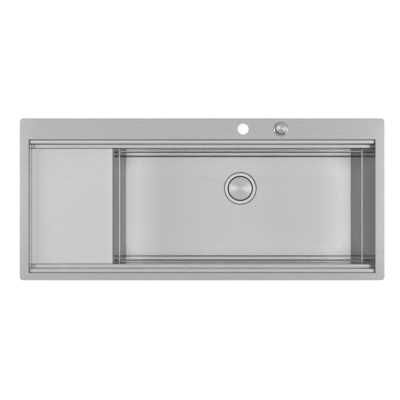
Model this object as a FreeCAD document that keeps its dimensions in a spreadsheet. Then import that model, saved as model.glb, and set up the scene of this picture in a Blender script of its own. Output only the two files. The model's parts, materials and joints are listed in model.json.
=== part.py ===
import FreeCAD, Part

import math
import os
import re

import Sketcher

# An inset stainless steel kitchen sink with a drainer, in millimetres.
# +X points right, +Y to the rear and +Z up. The origin is the centre of the rim on the worktop.

SIZES = {
    # Rim plate and the tape under it
    "total_length": 1160,
    "total_width": 515,
    "rim_corner": 12,
    "plate": 3,
    "plate_edge": 0.8,
    "side_rim": 29,
    "front_rim": 23.5,
    "rear_deck": 67,
    "opening_corner": 1.5,
    "seal_thick": 1.5,
    "seal_width": 9,
    "seal_inset": 3,
    "tap_right": 130.5,
    "tap_hole": 35,
    "control_right": 250,
    "deck_holes_inset": 34,
    # Folded sheet: depths are counted down from the top of the rim
    "sheet": 1.2,
    "bend": 2,
    "ledge_one_depth": 7,
    "ledge_one_width": 13,
    "ledge_two_depth": 22,
    "ledge_two_width": 12,
    "lip": 12,
    "joggle_depth": 100,
    "joggle": 3,
    "joggle_bend": 0.8,
    # Drainer
    "drainer_length": 264.5,
    "tray_drop": 1.5,
    "tray_fall": 2.5,
    "tray_bend": 3,
    "tray_edge": 1.2,
    # Bowl floor and the seat of the waste
    "floor_depth": 200,
    "floor_bend": 5,
    "floor_fall": 6,
    "crease_reach": 40,
    "drain_right": 140,
    "drain_rear": 44,
    "recess_room": 3,
    "recess_depth": 3,
    # Sound deadening pads
    "pad_thick": 3,
    "pad_margin": 18,
    "pad_gap": 45,
    # Fixing clips
    "stud_inset": 18,
    "stud_radius": 2.5,
    "stud_length": 64,
    "worktop": 38,
    "claw_sheet": 2,
    "claw_half": 6,
    "claw_reach": 16,
    "claw_rise": 12,
    "claw_fit": 0.3,
    "nut_radius": 4.5,
    "nut_height": 5,
    "wing_span": 22,
    "wing_height": 8,
    "wing_thick": 2,
    # Waste flange and its seals
    "gasket": 1,
    "waste_width": 90,
    "flange_reach": 12,
    "flange_thick": 1.6,
    "flange_edge": 0.7,
    "cup_wall": 1.2,
    "cup_depth": 21,
    "cup_bend": 2,
    "cup_lip": 1,
    "seat_fall": 3,
    "seat_width": 15,
    "hole_fit": 0.8,
    "hub_radius": 9,
    "hub_thick": 3,
    "arm_half": 3,
    "thread_fit": 0.2,
    "gasket_low": 2,
    "gasket_reach": 7,
    # Waste body
    "body_gap": 3.8,
    "body_wall": 3,
    "body_flange": 3,
    "body_flange_height": 4,
    "boss_drop": 29,
    "boss_height": 9,
    "boss_radius": 9,
    "rib_half": 1.5,
    "chamber_depth": 78,
    "cone_height": 12,
    "outlet_radius": 23.9,
    "outlet_wall": 3,
    "outlet_length": 25,
    # Clamp screw with the lift pin inside it
    "screw_radius": 5,
    "screw_head": 8,
    "screw_head_height": 3,
    "pin_radius": 2.8,
    "pin_fit": 0.3,
    "pin_show": 1.2,
    "pin_gap": 0.4,
    "pin_length": 32,
    # Lift shaft, which comes in from the side
    "finger": 14,
    "nose_radius": 2.5,
    "finger_half": 4,
    "shaft_radius": 4,
    "shaft_fit": 0.08,
    "tube_radius": 8,
    "tube_reach": 11,
    "ring_width": 2,
    "ring_fit": 0.3,
    "crank_gap": 0.8,
    "crank_thick": 4,
    "crank_length": 20,
    "crank_radius": 7,
    "crank_end_share": 0.7,
    "crank_tip": 2.3,
    "crank_eye": 1.5,
    "crank_screw_head": 5.6,
    "crank_screw_height": 2.4,
    "lug_thick": 3,
    "lug_away": 24,
    "lug_height": 20,
    "lug_margin": 5,
    "gland_radius": 4,
    "gland_bore": 2,
    "gland_length": 14,
    # Plug with its strainer
    "cap_room": 2,
    "cap_proud": 0.4,
    "cap_thick": 1.5,
    "cap_skirt": 3,
    "cap_edge": 1,
    "basket_room": 4,
    "basket_top_drop": 6.5,
    "basket_wall": 1,
    "basket_depth": 13,
    "basket_taper": 8,
    "basket_bend": 2,
    "slot_width": 2.4,
    "slots": 24,
    "slot_share": 0.6,
    "drip_radius": 2.2,
    "drip_inset": 5,
    "drips": 12,
    "stem_radius": 5,
    "plug_seal_reach": 6,
    "plug_seal_lap": 3,
    "plug_gap": 0.4,
    # Rotary control on the deck
    "bezel_radius": 22.5,
    "bezel_top_radius": 20.6,
    "bezel_height": 4.5,
    "bezel_step": 1.5,
    "bezel_edge": 0.9,
    "bezel_lip": 0.5,
    "bezel_fit": 0.3,
    "knob_radius": 17.4,
    "knob_height": 8,
    "knob_gap": 0.6,
    "knob_wall": 1.6,
    "knob_edge": 1,
    "knob_hub": 7,
    "collar_radius": 20,
    "collar_thick": 1.5,
    "collar_seal": 0.5,
    "neck_radius": 16.6,
    "neck_length": 34,
    "drum_radius": 11,
    "drum_height": 12,
    "drum_fit": 0.8,
    "spindle_radius": 4,
    "spindle_fit": 0.08,
    "nut_outer": 21,
    "nut_thick": 8,
    "nut_fit": 0.2,
    "washer_thick": 1.5,
    "cover_thick": 2,
    "gland_right": 8,
    # One overrun for every cut
    "overrun": 5,
}

# Places worked out from the sizes
PLACES = {
    "rim_top": "seal_thick + plate",
    "ledge_one_top": "rim_top - ledge_one_depth",
    "ledge_two_top": "rim_top - ledge_two_depth",
    "joggle_top": "rim_top - joggle_depth",
    "floor_top": "rim_top - floor_depth",
    "lip_end": "ledge_two_top - lip",
    "tray_left_top": "ledge_two_top - tray_drop",
    "tray_right_top": "tray_left_top - tray_fall",
    "tray_slope": "tray_fall / (drainer_length + sheet)",
    "rim_rear": "total_width / 2",
    "rim_right": "total_length / 2",
    "seal_inner": "seal_inset + seal_width",
    "open_rear": "rim_rear - rear_deck",
    "open_front": "front_rim - rim_rear",
    "step_rear": "open_rear - ledge_one_width",
    "step_front": "open_front + ledge_one_width",
    "bowl_rear": "step_rear - ledge_two_width",
    "bowl_front": "step_front + ledge_two_width",
    "low_rear": "bowl_rear - joggle",
    "low_front": "bowl_front + joggle",
    "open_right": "rim_right - side_rim",
    "open_left": "side_rim - rim_right",
    "bowl_left": "open_left + drainer_length",
    "low_left": "bowl_left + joggle",
    "low_right": "open_right - joggle",
    "deck_holes": "rim_rear - deck_holes_inset",
    "cup_radius": "waste_width / 2",
    "flange_radius": "cup_radius + flange_reach",
    "recess_radius": "flange_radius + recess_room",
    "recess_top": "floor_top - floor_fall - recess_depth",
    "flange_under": "recess_top + gasket",
    "flange_top": "flange_under + flange_thick",
    "seat_top": "flange_top - cup_depth",
    "seat_low": "seat_top - seat_fall",
    "seat_radius": "cup_radius - seat_width",
    "hub_top": "seat_low",
    "cup_outer": "cup_radius + cup_wall",
    "drain_hole": "cup_outer + hole_fit",
    "body_top": "recess_top - sheet - gasket_low",
    "body_radius": "cup_outer + body_gap",
    "body_outer": "body_radius + body_wall",
    "boss_top": "body_top - boss_drop",
    "chamber_low": "body_top - chamber_depth",
    "cone_low": "chamber_low - cone_height",
    "screw_top": "hub_top + screw_head_height",
    "pin_top": "screw_top + pin_show",
    "pin_low": "pin_top - pin_length",
    "shaft_up": "pin_low - pin_gap - nose_radius",
    "tube_out": "body_outer + tube_reach",
    "crank_out": "tube_out + crank_gap",
    "shaft_out": "crank_out + crank_thick",
    "cap_top": "flange_top + cap_proud",
    "cap_radius": "cup_radius - cap_room",
    "basket_radius": "cup_radius - basket_room",
    "basket_foot_radius": "basket_radius - basket_taper",
    "plug_seal_outer": "seat_radius + plug_seal_reach",
    "plug_seal_inner": "seat_radius - plug_seal_lap",
    "drip_ring": "plug_seal_inner - drip_inset",
    "basket_top": "cap_top - basket_top_drop",
    "basket_low": "basket_top - basket_depth",
    "seat_slope": "seat_fall / (cup_radius - seat_radius)",
    "collar_under": "rim_top + collar_seal",
    "collar_top": "collar_under + collar_thick",
    "bezel_top": "rim_top + bezel_height",
    "knob_under": "collar_top + knob_gap",
    "knob_top": "knob_under + knob_height",
    "neck_low": "collar_top - neck_length",
    "drum_room": "drum_radius + drum_fit",
    "drum_low": "neck_low + drum_fit",
    "drum_top": "drum_low + drum_height",
    "claw_tip_top": "0 - worktop - claw_fit",
    "claw_low": "claw_tip_top - claw_rise - claw_sheet",
    "nut_top": "claw_low - claw_fit",
    "pad_under_low": "joggle_top - sheet - pad_margin",
    "pad_floor_up": "floor_top + pad_margin",
}

# Fixing clips along the rim: how far along each side, as a share of its half length
LONG_SIDE_SHARES = (-0.72, 0.0, 0.72)
END_STUD_SHARES = (0.0,)

doc = FreeCAD.newDocument("kitchen_sink")
sheet = doc.addObject("Spreadsheet::Sheet", "sizes")
for row, (alias, size) in enumerate(SIZES.items(), start=1):
    sheet.set(f"A{row}", str(size))
    sheet.setAlias(f"A{row}", alias)
doc.recompute()

parts = []


def formula(text):
    """Spells out names of SIZES and PLACES as an expression on the sheet."""

    def spell(found):
        word = found.group()
        if word in PLACES:
            return f"({formula(PLACES[word])})"
        return f"sizes.{word}" if word in SIZES else word

    return re.sub(r"[a-z_]+", spell, str(text))


def measure(text):
    """The value of a formula, in millimetres or as a plain number."""
    return float(sheet.evalExpression(formula(text)))


def bind(thing, **formulas):
    """Ties properties to the sheet; a double underscore stands for a dot."""
    for name, text in formulas.items():
        thing.setExpression(name.replace("__", "."), formula(text))


def new_body(name):
    body = doc.addObject("PartDesign::Body", name)
    return body


def place(thing, x=0, y=0, z=0):
    """Binds where an object stands."""
    bind(thing, Placement__Base__x=x, Placement__Base__y=y, Placement__Base__z=z)


def keep(thing, label):
    """Names a finished sub-part, which is then written to its own file."""
    thing.Label = label
    parts.append(thing)
    return thing


def sketch_on(body, role, offset=0):
    """A sketch on one of the body's own origin planes, moved along the plane's normal."""
    plane = next(o for o in body.Origin.OriginFeatures if o.Role == role)
    sketch = body.newObject("Sketcher::SketchObject", f"{body.Name}_sketch")
    sketch.AttachmentSupport = [(plane, "")]
    sketch.MapMode = "FlatFace"
    bind(sketch, AttachmentOffset__Base__z=offset)
    return sketch


def pin_point(sketch, geometry, end, across, up, rules):
    """Rules that hold one point at a place given by two formulas."""
    for axis, text in (("DistanceX", across), ("DistanceY", up)):
        rules.append((Sketcher.Constraint(axis, -1, 1, geometry, end, measure(text)), text))


def add_rules(sketch, rules):
    """Adds constraints in one go and ties each that has a formula to the sheet."""
    first = sketch.ConstraintCount
    sketch.addConstraint([rule for rule, _ in rules])
    for number, (_, text) in enumerate(rules, start=first):
        if text is not None:
            sketch.renameConstraint(number, f"size{number}")
            sketch.setExpression(f"Constraints.size{number}", formula(text))


def round_corner(before, corner, after, radius):
    """Where a corner's arc starts and ends, its centre, and whether it turns left."""
    here = FreeCAD.Vector(*corner)
    back = (FreeCAD.Vector(*before) - here).normalize()
    ahead = (FreeCAD.Vector(*after) - here).normalize()
    half = back.getAngle(ahead) / 2
    reach = radius / math.tan(half)
    middle = (back + ahead).normalize()
    turns_left = back.cross(ahead).z < 0
    return here + back * reach, here + ahead * reach, here + middle * (radius / math.sin(half)), turns_left


def outline(sketch, corners):
    """A closed outline through corners (across, up, radius), where a radius may be None."""
    spots = [(measure(across), measure(up)) for across, up, _ in corners]
    count = len(corners)
    starts, ends, arcs = [], [], []
    for i, (_, _, radius) in enumerate(corners):
        if radius is None:
            starts.append(FreeCAD.Vector(*spots[i]))
            ends.append(FreeCAD.Vector(*spots[i]))
            arcs.append(None)
            continue
        size = measure(radius)
        begin, finish, centre, left = round_corner(spots[i - 1], spots[i], spots[(i + 1) % count], size)
        first, last = (begin, finish) if left else (finish, begin)
        angles = [math.atan2(p.y - centre.y, p.x - centre.x) for p in (first, last)]
        circle = Part.Circle(centre, FreeCAD.Vector(0, 0, 1), size)
        arcs.append((Part.ArcOfCircle(circle, angles[0], angles[1]), left))
        starts.append(begin)
        ends.append(finish)
    lines = [sketch.addGeometry(Part.LineSegment(ends[i - 1], starts[i]), False) for i in range(count)]
    rules = []
    for i, (across, up, radius) in enumerate(corners):
        into, out = lines[i], lines[(i + 1) % count]
        if radius is None:
            rules.append((Sketcher.Constraint("Coincident", into, 2, out, 1), None))
            pin_point(sketch, out, 1, across, up, rules)
            continue
        arc, left = arcs[i]
        bow = sketch.addGeometry(arc, False)
        corner = sketch.addGeometry(Part.Point(FreeCAD.Vector(*spots[i])), True)
        begin, finish = (1, 2) if left else (2, 1)
        rules.append((Sketcher.Constraint("Tangent", into, 2, bow, begin), None))
        rules.append((Sketcher.Constraint("Tangent", bow, finish, out, 1), None))
        rules.append((Sketcher.Constraint("PointOnObject", corner, 1, into), None))
        rules.append((Sketcher.Constraint("PointOnObject", corner, 1, out), None))
        rules.append((Sketcher.Constraint("Radius", bow, measure(radius)), radius))
        pin_point(sketch, corner, 1, across, up, rules)
    add_rules(sketch, rules)
    return sketch


def circle(sketch, across, up, radius):
    """A circle whose centre and radius are bound to the sheet."""
    centre = FreeCAD.Vector(measure(across), measure(up))
    ring = sketch.addGeometry(Part.Circle(centre, FreeCAD.Vector(0, 0, 1), measure(radius)), False)
    rules = [(Sketcher.Constraint("Radius", ring, measure(radius)), radius)]
    pin_point(sketch, ring, 3, across, up, rules)
    add_rules(sketch, rules)
    return sketch


def box_corners(left, right, low, high, radius=None):
    """The four corners of a rectangle, for outline."""
    return [(left, low, radius), (right, low, radius), (right, high, radius), (left, high, radius)]


def pad(sketch, length, backwards=False):
    """Adds material from a sketch along its plane's normal."""
    body = sketch.getParentGeoFeatureGroup()
    feature = body.newObject("PartDesign::Pad", f"{body.Name}_pad")
    feature.Profile = sketch
    feature.Reversed = backwards
    bind(feature, Length=length)
    doc.recompute()
    return feature


def cut_through(sketch):
    """Cuts a sketch's shape right through the body, both ways."""
    body = sketch.getParentGeoFeatureGroup()
    before = body.Shape.Volume
    feature = body.newObject("PartDesign::Pocket", f"{body.Name}_pocket")
    feature.Profile = sketch
    feature.Type = "ThroughAll"
    feature.SideType = "Symmetric"
    doc.recompute()
    must_shrink(body, before)
    return feature


def cut_to(sketch, depth, backwards=False):
    """Cuts a sketch's shape to a depth, down from its plane."""
    body = sketch.getParentGeoFeatureGroup()
    before = body.Shape.Volume
    feature = body.newObject("PartDesign::Pocket", f"{body.Name}_pocket")
    feature.Profile = sketch
    feature.Reversed = backwards
    bind(feature, Length=depth)
    doc.recompute()
    must_shrink(body, before)
    return feature


def must_shrink(body, before):
    """Stops if a cut took nothing away."""
    if body.Shape.Volume >= before:
        raise RuntimeError(f"{body.Label}: a cut missed the body")


def revolve(body, corners):
    """A full turn of an outline (radius, height) about the body's upright axis."""
    sketch = outline(sketch_on(body, "XZ_Plane"), corners)
    feature = body.newObject("PartDesign::Revolution", f"{body.Name}_turn")
    feature.Profile = sketch
    feature.ReferenceAxis = (sketch, ["V_Axis"])
    feature.Angle = 360
    doc.recompute()
    return feature


def around(body, features, count):
    """Repeats features evenly about the body's upright axis."""
    axis = next(o for o in body.Origin.OriginFeatures if o.Role == "Z_Axis")
    pattern = body.newObject("PartDesign::PolarPattern", f"{body.Name}_pattern")
    pattern.Originals = features
    pattern.Axis = (axis, [""])
    pattern.Angle = 360
    bind(pattern, Occurrences=count)
    body.Tip = pattern
    doc.recompute()
    return pattern


def soften(body, radius, is_wanted):
    """Rounds the edges of the body that is_wanted picks."""
    tip = body.Tip
    names = [f"Edge{i}" for i, edge in enumerate(tip.Shape.Edges, start=1) if is_wanted(edge)]
    feature = body.newObject("PartDesign::Fillet", f"{body.Name}_fillet")
    feature.Base = (tip, names)
    bind(feature, Radius=radius)
    doc.recompute()
    return feature


def near(number, text):
    """Whether a number is at a place, within rounding."""
    return abs(number - measure(text)) < ROUNDING


ROUNDING = 1e-4


def all_at(edge, axis, text):
    """Whether a whole edge lies in the plane where one of its coordinates has this value."""
    box = edge.BoundBox
    low, high = getattr(box, f"{axis}Min"), getattr(box, f"{axis}Max")
    return near(low, text) and near(high, text)


def ring(name, inner, outer, low, high, x=0, y=0):
    """A flat ring about an upright axis."""
    body = new_body(name)
    corners = [(inner, low, None), (outer, low, None), (outer, high, None), (inner, high, None)]
    revolve(body, corners)
    place(body, x, y)
    return keep(body, name)


def block(name, left, right, front, rear, low, high):
    """A plain box between six places."""
    box = doc.addObject("Part::Box", name)
    bind(box, Length=f"({right}) - ({left})", Width=f"({rear}) - ({front})", Height=f"({high}) - ({low})")
    place(box, left, front, low)
    return box


OTHER_SIDE = {
    "bend": "bend + sheet",
    "bend + sheet": "bend",
    "joggle_bend": "joggle_bend + sheet",
    "joggle_bend + sheet": "joggle_bend",
    "floor_bend": "floor_bend + sheet",
    None: None,
}


def back_of(seen, side):
    """The hidden face of folded sheet, from its seen corners; side is + or - across."""
    last = len(seen) - 1
    hidden = []
    for i, (across, up, radius) in enumerate(seen):
        drop = "" if i in (0, last) else " - sheet"
        hidden.append((f"{across} {side} sheet", f"{up}{drop}", OTHER_SIDE[radius]))
    return hidden[::-1]


def ledges(end):
    """The seen corners of two ledges, from the rim plate down to the bowl; end is rear or front."""
    return [
        (f"open_{end}", "seal_thick", None),
        (f"open_{end}", "ledge_one_top", "bend"),
        (f"step_{end}", "ledge_one_top", "bend + sheet"),
        (f"step_{end}", "ledge_two_top", "bend"),
        (f"bowl_{end}", "ledge_two_top", "bend + sheet"),
    ]


def walls(end):
    """The seen corners of a bowl wall below the ledges, down to the floor."""
    return [
        (f"bowl_{end}", "joggle_top", "joggle_bend"),
        (f"low_{end}", "joggle_top", "joggle_bend + sheet"),
        (f"low_{end}", "floor_top", "floor_bend"),
    ]


# Rim


def make_rim_frame():
    body = new_body("rim_frame")
    sketch = sketch_on(body, "XY_Plane", "seal_thick")
    outline(sketch, box_corners("0 - rim_right", "rim_right", "0 - rim_rear", "rim_rear", "rim_corner"))
    outline(sketch, box_corners("open_left", "open_right", "open_front", "open_rear", "opening_corner"))
    pad(sketch, "plate")
    holes = sketch_on(body, "XY_Plane", "seal_thick")
    circle(holes, "tap_right", "deck_holes", "tap_hole / 2")
    circle(holes, "control_right", "deck_holes", "tap_hole / 2")
    cut_through(holes)
    soften(body, "plate_edge", is_outer_top_edge)
    return keep(body, "rim_frame")


def is_outer_top_edge(edge):
    """Whether an edge of the rim plate lies on its outer outline at the top."""
    middle = edge.BoundBox.Center
    beyond_x = abs(middle.x) > measure("open_right")
    beyond_y = middle.y < measure("open_front") or middle.y > measure("deck_holes + tap_hole / 2")
    return all_at(edge, "Z", "rim_top") and (beyond_x or beyond_y)


def make_rim_seal():
    body = new_body("rim_seal")
    sketch = sketch_on(body, "XY_Plane")
    for inset, radius in (("seal_inset", "rim_corner - seal_inset"), ("seal_inner", "opening_corner")):
        side, end = f"(rim_right - {inset})", f"(rim_rear - {inset})"
        outline(sketch, box_corners(f"0 - {side}", side, f"0 - {end}", end, radius))
    pad(sketch, "seal_thick")
    return keep(body, "rim_seal")


# Folded and welded sheet


def make_ledge_rail(end, side):
    """The folded rail of two ledges along the rear or the front; side is + or - across."""
    body = new_body(f"{end}_ledge_rail")
    seen = ledges(end) + [(f"bowl_{end}", "lip_end", None)]
    sketch = sketch_on(body, "YZ_Plane", "open_left - sheet")
    outline(sketch, seen + back_of(seen, side))
    pad(sketch, "open_right - open_left + 2 * sheet")
    return keep(body, f"{end}_ledge_rail")


def make_sink_space():
    """The room inside rails and bowl, which trims the end panels."""
    body = new_body("sink_space")
    sketch = sketch_on(body, "YZ_Plane", "open_left - sheet - overrun")
    outline(sketch, ledges("rear") + walls("rear") + (ledges("front") + walls("front"))[::-1])
    pad(sketch, "open_right - open_left + 2 * (sheet + overrun)")
    return body


def make_bowl_wrap():
    """Rear wall, floor and front wall in one folded sheet, with the seat of the waste."""
    body = new_body("bowl_wrap")
    seen = [("bowl_rear", "lip_end", None)] + walls("rear") + walls("front")[::-1]
    seen.append(("bowl_front", "lip_end", None))
    sketch = sketch_on(body, "YZ_Plane", "bowl_left - sheet")
    outline(sketch, seen + wrap_back())
    pad(sketch, "open_right - bowl_left + 2 * sheet")
    trim_wrap_ends(body)
    shape_floor(body)
    return keep(body, "bowl_wrap")


def wrap_back():
    """The hidden corners of the bowl wrap, from the front lip round to the rear lip."""
    corners = []
    for end, side in (("front", "-"), ("rear", "+")):
        face = [(f"bowl_{end} {side} sheet", "lip_end", None)]
        for across, up, radius in walls(end):
            face.append((f"{across} {side} sheet", f"{up} - sheet", OTHER_SIDE[radius]))
        corners += face if end == "front" else face[::-1]
    return corners


def trim_wrap_ends(body):
    """Below the mid ledge the bowl is shorter, so the wrap's ends are cut back there."""
    sketch = sketch_on(body, "XZ_Plane")
    low, high = "floor_top - sheet - overrun", "joggle_top - sheet"
    outline(sketch, box_corners("bowl_left - sheet - overrun", "low_left - sheet", low, high))
    outline(sketch, box_corners("low_right + sheet", "open_right + sheet + overrun", low, high))
    cut_through(sketch)


def floor_planes(feature, top):
    """Four shallow planes that fall to the waste, as a flat wedge below a height."""
    bind(feature, Xmin="low_left", Xmax="low_right", Ymin=0, Ymax="floor_fall")
    bind(feature, Zmin="low_front + floor_bend", Zmax="low_rear - floor_bend")
    bind(feature, X2min="drain_right - crease_reach", X2max="drain_right + crease_reach")
    bind(feature, Z2min="drain_rear - crease_reach", Z2max="drain_rear + crease_reach")
    turn = FreeCAD.Rotation(FreeCAD.Vector(1, 0, 0), -90)
    feature.Placement = FreeCAD.Placement(FreeCAD.Vector(0, 0, measure(top)), turn)
    bind(feature, Placement__Base__z=top)


def shape_floor(body):
    """Gives the floor its falls and presses the seat of the waste into it."""
    outer = body.newObject("PartDesign::AdditiveWedge", "floor_under")
    floor_planes(outer, "floor_top - sheet")
    doc.recompute()
    seat = circle(sketch_on(body, "XY_Plane", "recess_top - sheet"), "drain_right", "drain_rear",
                  "recess_radius + sheet")
    pad(seat, "floor_top - recess_top + sheet")
    inner = body.newObject("PartDesign::SubtractiveWedge", "floor_over")
    floor_planes(inner, "floor_top")
    doc.recompute()
    room = circle(sketch_on(body, "XY_Plane", "floor_top"), "drain_right", "drain_rear", "recess_radius")
    cut_to(room, "floor_top - recess_top")
    hole = circle(sketch_on(body, "XY_Plane", "floor_top"), "drain_right", "drain_rear", "drain_hole")
    cut_through(hole)


def make_end_panel(name, side, top, space):
    """A welded end panel of the bowl with its mid ledge; side is left or right."""
    sign = "-" if side == "left" else "+"
    edge = "bowl_left" if side == "left" else "open_right"
    body = new_body(f"{name}_strip")
    seen = [(edge, top, None), (edge, "joggle_top", "joggle_bend")]
    seen += [(f"low_{side}", "joggle_top", "joggle_bend + sheet"), (f"low_{side}", "floor_top", None)]
    sketch = sketch_on(body, "XZ_Plane", "0 - open_rear")
    outline(sketch, seen + back_of(seen, sign))
    pad(sketch, "open_rear - open_front")
    panel = doc.addObject("Part::Common", name)
    panel.Base, panel.Tool = body, space
    return keep(panel, name)


def make_left_end_panel(space):
    slab = block("left_end_slab", "open_left - sheet", "open_left", "open_front", "open_rear",
                 "tray_left_top", "seal_thick")
    panel = doc.addObject("Part::Common", "left_end_panel")
    panel.Base, panel.Tool = slab, space
    return keep(panel, "left_end_panel")


def make_drainer_tray():
    """A sheet that falls towards the bowl, with front, rear and bowl edges turned down."""
    tray = doc.addObject("Part::Cut", "drainer_tray")
    tray.Base = make_tray_form("tray_outside", "0", "0")
    tray.Tool = make_tray_form("tray_inside", "sheet", "overrun")
    return keep(tray, "drainer_tray")


def make_tray_form(name, skin, extra):
    """A solid form of the tray, set in by its skin and reaching out at the open sides by an extra."""
    body = new_body(name)
    left, right = f"open_left - sheet - {extra}", f"bowl_left - {skin}"
    corners = [
        (left, f"lip_end - {extra}", None),
        (right, f"lip_end - {extra}", None),
        (right, f"tray_right_top - {skin} + {skin} * tray_slope", f"tray_bend + sheet - {skin}"),
        (left, f"tray_left_top - {skin} + {extra} * tray_slope", None),
    ]
    outline(sketch_on(body, "XZ_Plane", f"{skin} - bowl_rear"), corners)
    pad(body.Group[-1], f"bowl_rear - bowl_front - 2 * {skin}")
    soften(body, f"tray_edge + sheet - {skin}", is_tray_edge)
    return body


def is_tray_edge(edge):
    """Whether an edge of the tray's form runs along its top at the front or the rear."""
    box = edge.BoundBox
    along = box.YLength < ROUNDING and box.XLength > measure("drainer_length / 2")
    return along and box.ZMin > measure("tray_right_top - 2 * sheet")


# Sound deadening


def make_wall_pads():
    """Pads on the outside of the bowl's lower walls."""
    low, high = "pad_floor_up", "pad_under_low"
    left, right = "low_left + pad_margin", "low_right - pad_margin"
    front, rear = "low_front + pad_margin", "low_rear - pad_margin"
    spans = {
        "bowl_rear_pad": (left, right, "low_rear + sheet", "low_rear + sheet + pad_thick"),
        "bowl_front_pad": (left, right, "low_front - sheet - pad_thick", "low_front - sheet"),
        "bowl_left_pad": ("low_left - sheet - pad_thick", "low_left - sheet", front, rear),
        "bowl_right_pad": ("low_right + sheet", "low_right + sheet + pad_thick", front, rear),
    }
    for name, (left, right, front, rear) in spans.items():
        keep(block(name, left, right, front, rear, low, high), name)


def make_floor_pads():
    """Pads of even thickness under the sloping floor, one on each side of the waste."""
    skins = []
    for name, top in (("floor_skin", "floor_top - sheet"), ("pad_skin", "floor_top - sheet - pad_thick")):
        skin = doc.addObject("Part::Wedge", name)
        floor_planes(skin, top)
        skins.append(skin)
    layer = doc.addObject("Part::Cut", "pad_layer")
    layer.Base, layer.Tool = skins[1], skins[0]
    away = "(recess_radius + pad_gap)"
    low, high = "recess_top - pad_thick - overrun", "floor_top - sheet"
    front, rear = "low_front + floor_bend + pad_margin", "low_rear - floor_bend - pad_margin"
    spans = {
        "floor_pad_left": ("low_left + pad_margin", f"drain_right - {away}"),
        "floor_pad_right": (f"drain_right + {away}", "low_right - pad_margin"),
    }
    for name, (left, right) in spans.items():
        area = block(f"{name}_area", left, right, front, rear, low, high)
        piece = doc.addObject("Part::Common", name)
        piece.Base, piece.Tool = layer, area
        keep(piece, name)


def make_drainer_pad():
    """A pad under the drainer, which follows the tray's fall."""
    body = new_body("drainer_pad")
    left, right = "open_left + pad_margin", "bowl_left - pad_margin"
    top = "tray_left_top - sheet - (%s - open_left + sheet) * tray_slope"
    sketch = sketch_on(body, "XZ_Plane", "0 - bowl_rear + pad_margin")
    corners = [
        (left, (top % f"({left})") + " - pad_thick", None),
        (right, (top % f"({right})") + " - pad_thick", None),
        (right, top % f"({right})", None),
        (left, top % f"({left})", None),
    ]
    outline(sketch, corners)
    pad(sketch, "bowl_rear - bowl_front - 2 * pad_margin")
    return keep(body, "drainer_pad")


# Fixing clips


def stud_places():
    """Where the studs stand and which way their claws swing out: (x, y, outward angle)."""
    side, end = "(rim_right - stud_inset)", "(rim_rear - stud_inset)"
    places = []
    for share in LONG_SIDE_SHARES:
        places.append((f"{side} * {share}", end, 90))
        places.append((f"{side} * {share}", f"0 - {end}", -90))
    for share in END_STUD_SHARES:
        places.append((side, f"{end} * {share}", 0))
        places.append((f"0 - {side}", f"{end} * {share}", 180))
    return places


def along_rim(outward):
    """The turn that lays a piece along its side of the rim."""
    return FreeCAD.Rotation(FreeCAD.Vector(0, 0, 1), outward - 90)


def make_studs():
    studs = []
    for x, y, _ in stud_places():
        stud = doc.addObject("Part::Cylinder", "stud")
        bind(stud, Radius="stud_radius", Height="stud_length")
        place(stud, x, y, "seal_thick - stud_length")
        studs.append(stud)
    group = doc.addObject("Part::Compound", "fixing_studs")
    group.Links = studs
    return keep(group, "fixing_studs")


def make_wing_nuts():
    nuts = []
    for x, y, outward in stud_places():
        body = new_body("wing_nut")
        hub = circle(sketch_on(body, "XY_Plane"), 0, 0, "nut_radius")
        circle(hub, 0, 0, "stud_radius + thread_fit")
        pad(hub, "nut_height", backwards=True)
        wings = sketch_on(body, "XY_Plane")
        middle = "(nut_radius + stud_radius) / 2"
        for near_x, far_x in ((middle, "wing_span / 2"), ("0 - wing_span / 2", f"0 - {middle}")):
            outline(wings, box_corners(near_x, far_x, "0 - wing_thick / 2", "wing_thick / 2"))
        pad(wings, "wing_height", backwards=True)
        body.Placement = FreeCAD.Placement(FreeCAD.Vector(), along_rim(outward))
        place(body, x, y, "nut_top")
        nuts.append(body)
    group = doc.addObject("Part::Compound", "wing_nuts")
    group.Links = nuts
    return keep(group, "wing_nuts")


def make_claws():
    """Claws that swing on their studs; at rest each lies along its side of the rim."""
    for number, (x, y, outward) in enumerate(stud_places(), start=1):
        body = new_body(f"clip_claw_{number}")
        sketch = sketch_on(body, "XZ_Plane", "0 - claw_half")
        corners = [
            ("0 - claw_half", 0, None),
            ("claw_reach", 0, "claw_sheet"),
            ("claw_reach", "claw_rise + claw_sheet", None),
            ("claw_reach - claw_sheet", "claw_rise + claw_sheet", None),
            ("claw_reach - claw_sheet", "claw_sheet", "claw_sheet / 2"),
            ("0 - claw_half", "claw_sheet", None),
        ]
        pad(outline(sketch, corners), "2 * claw_half")
        cut_through(circle(sketch_on(body, "XY_Plane"), 0, 0, "stud_radius + claw_fit"))
        body.Placement = FreeCAD.Placement(FreeCAD.Vector(), along_rim(outward))
        place(body, x, y, "claw_low")
        keep(body, f"clip_claw_{number}")


# Waste


def at_drain(body):
    place(body, "drain_right", "drain_rear")
    return body


def make_waste_flange():
    """A turned flange and cup with a seat for the plug and arms to a hub."""
    body = new_body("waste_flange")
    corners = [
        ("flange_radius", "flange_under", None),
        ("flange_radius", "flange_top", "flange_edge"),
        ("cup_radius", "flange_top", "cup_lip"),
        ("cup_radius", "seat_top", "cup_bend"),
        ("seat_radius", "seat_low", None),
        ("seat_radius", "seat_low - cup_wall", None),
        ("cup_outer", "seat_top - cup_wall", "cup_bend + cup_wall"),
        ("cup_outer", "flange_under", None),
    ]
    revolve(body, corners)
    bore = "screw_radius + thread_fit"
    add_arms(body, "hub_top", "hub_thick", "seat_radius + cup_wall", "hub_radius", bore)
    return keep(at_drain(body), "waste_flange")


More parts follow.
